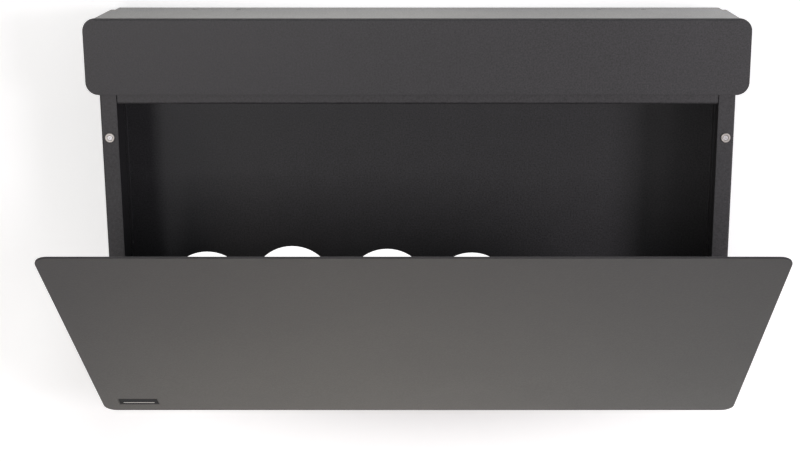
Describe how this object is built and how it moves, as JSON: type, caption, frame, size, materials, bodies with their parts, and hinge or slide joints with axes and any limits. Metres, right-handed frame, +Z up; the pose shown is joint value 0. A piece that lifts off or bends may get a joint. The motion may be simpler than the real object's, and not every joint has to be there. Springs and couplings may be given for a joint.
{
  "type": "wall mailbox",
  "caption": "Wide wall mailbox in folded powder-coated sheet steel, with a lifting lid over the mail slot and a magnetic door that folds down on stays.",
  "frame": {"origin": "on the wall plane, in the middle of the four wall holes", "axes": "+X to the right seen from the front, +Y into the wall, +Z up; the front faces -Y"},
  "size_m": [0.624, 0.3282, 0.3899],
  "materials": {
    "powder_coated_steel": "fine-textured anthracite powder coat",
    "stainless_steel": "plain stainless steel",
    "nickel_plating": "bright nickel plate",
    "zinc_plating": "zinc plate",
    "blackened_rivet": "painted aluminium rivets",
    "black_rubber": "soft black rubber",
    "name_plate_black": "black plate with a plain bright inlay line"
  },
  "bodies": {
    "housing": {"back_panel": "powder_coated_steel", "door_hinge_floor_leaf_left": "stainless_steel", "door_hinge_floor_leaf_right": "stainless_steel", "door_hinge_pin_left": "stainless_steel", "door_hinge_pin_right": "stainless_steel", "door_hinge_rivets": "blackened_rivet", "floor_panel": "powder_coated_steel", "floor_rivets": "blackened_rivet", "left_side_panel": "powder_coated_steel", "lid_bumper_left": "black_rubber", "lid_bumper_right": "black_rubber", "lid_hinge_body_leaf_left": "stainless_steel", "lid_hinge_body_leaf_right": "stainless_steel", "lid_hinge_pin_left": "stainless_steel", "lid_hinge_pin_right": "stainless_steel", "lid_hinge_rivets": "blackened_rivet", "magnet_nut_left": "stainless_steel", "magnet_nut_right": "stainless_steel", "magnet_screw_left": "stainless_steel", "magnet_screw_right": "stainless_steel", "rail_rivets": "blackened_rivet", "right_side_panel": "powder_coated_steel", "ring_magnet_left": "nickel_plating", "ring_magnet_right": "nickel_plating", "side_rivets": "blackened_rivet", "stay_stud_left": "zinc_plating", "stay_stud_right": "zinc_plating", "top_rail": "powder_coated_steel"},
    "lid": {"lid": "powder_coated_steel", "lid_hinge_lid_leaf_left": "stainless_steel", "lid_hinge_lid_leaf_right": "stainless_steel"},
    "door": {"door_panel": "powder_coated_steel", "name_plate": "name_plate_black", "door_hinge_door_leaf_left": "stainless_steel", "door_hinge_door_leaf_right": "stainless_steel", "door_stay_left": "powder_coated_steel", "door_stay_right": "powder_coated_steel"}
  },
  "joints": [
    {"name": "door_hinge", "type": "hinge", "parent": "housing", "child": "door", "pos_m": [0, -0.1037, -0.184], "axis": [1, 0, 0], "range_deg": [-45.6, 0]},
    {"name": "lid_hinge", "type": "hinge", "parent": "housing", "child": "lid", "pos_m": [0, -0.031, 0.196], "axis": [-1, 0, 0], "range_deg": [0, 75]}
  ]
}
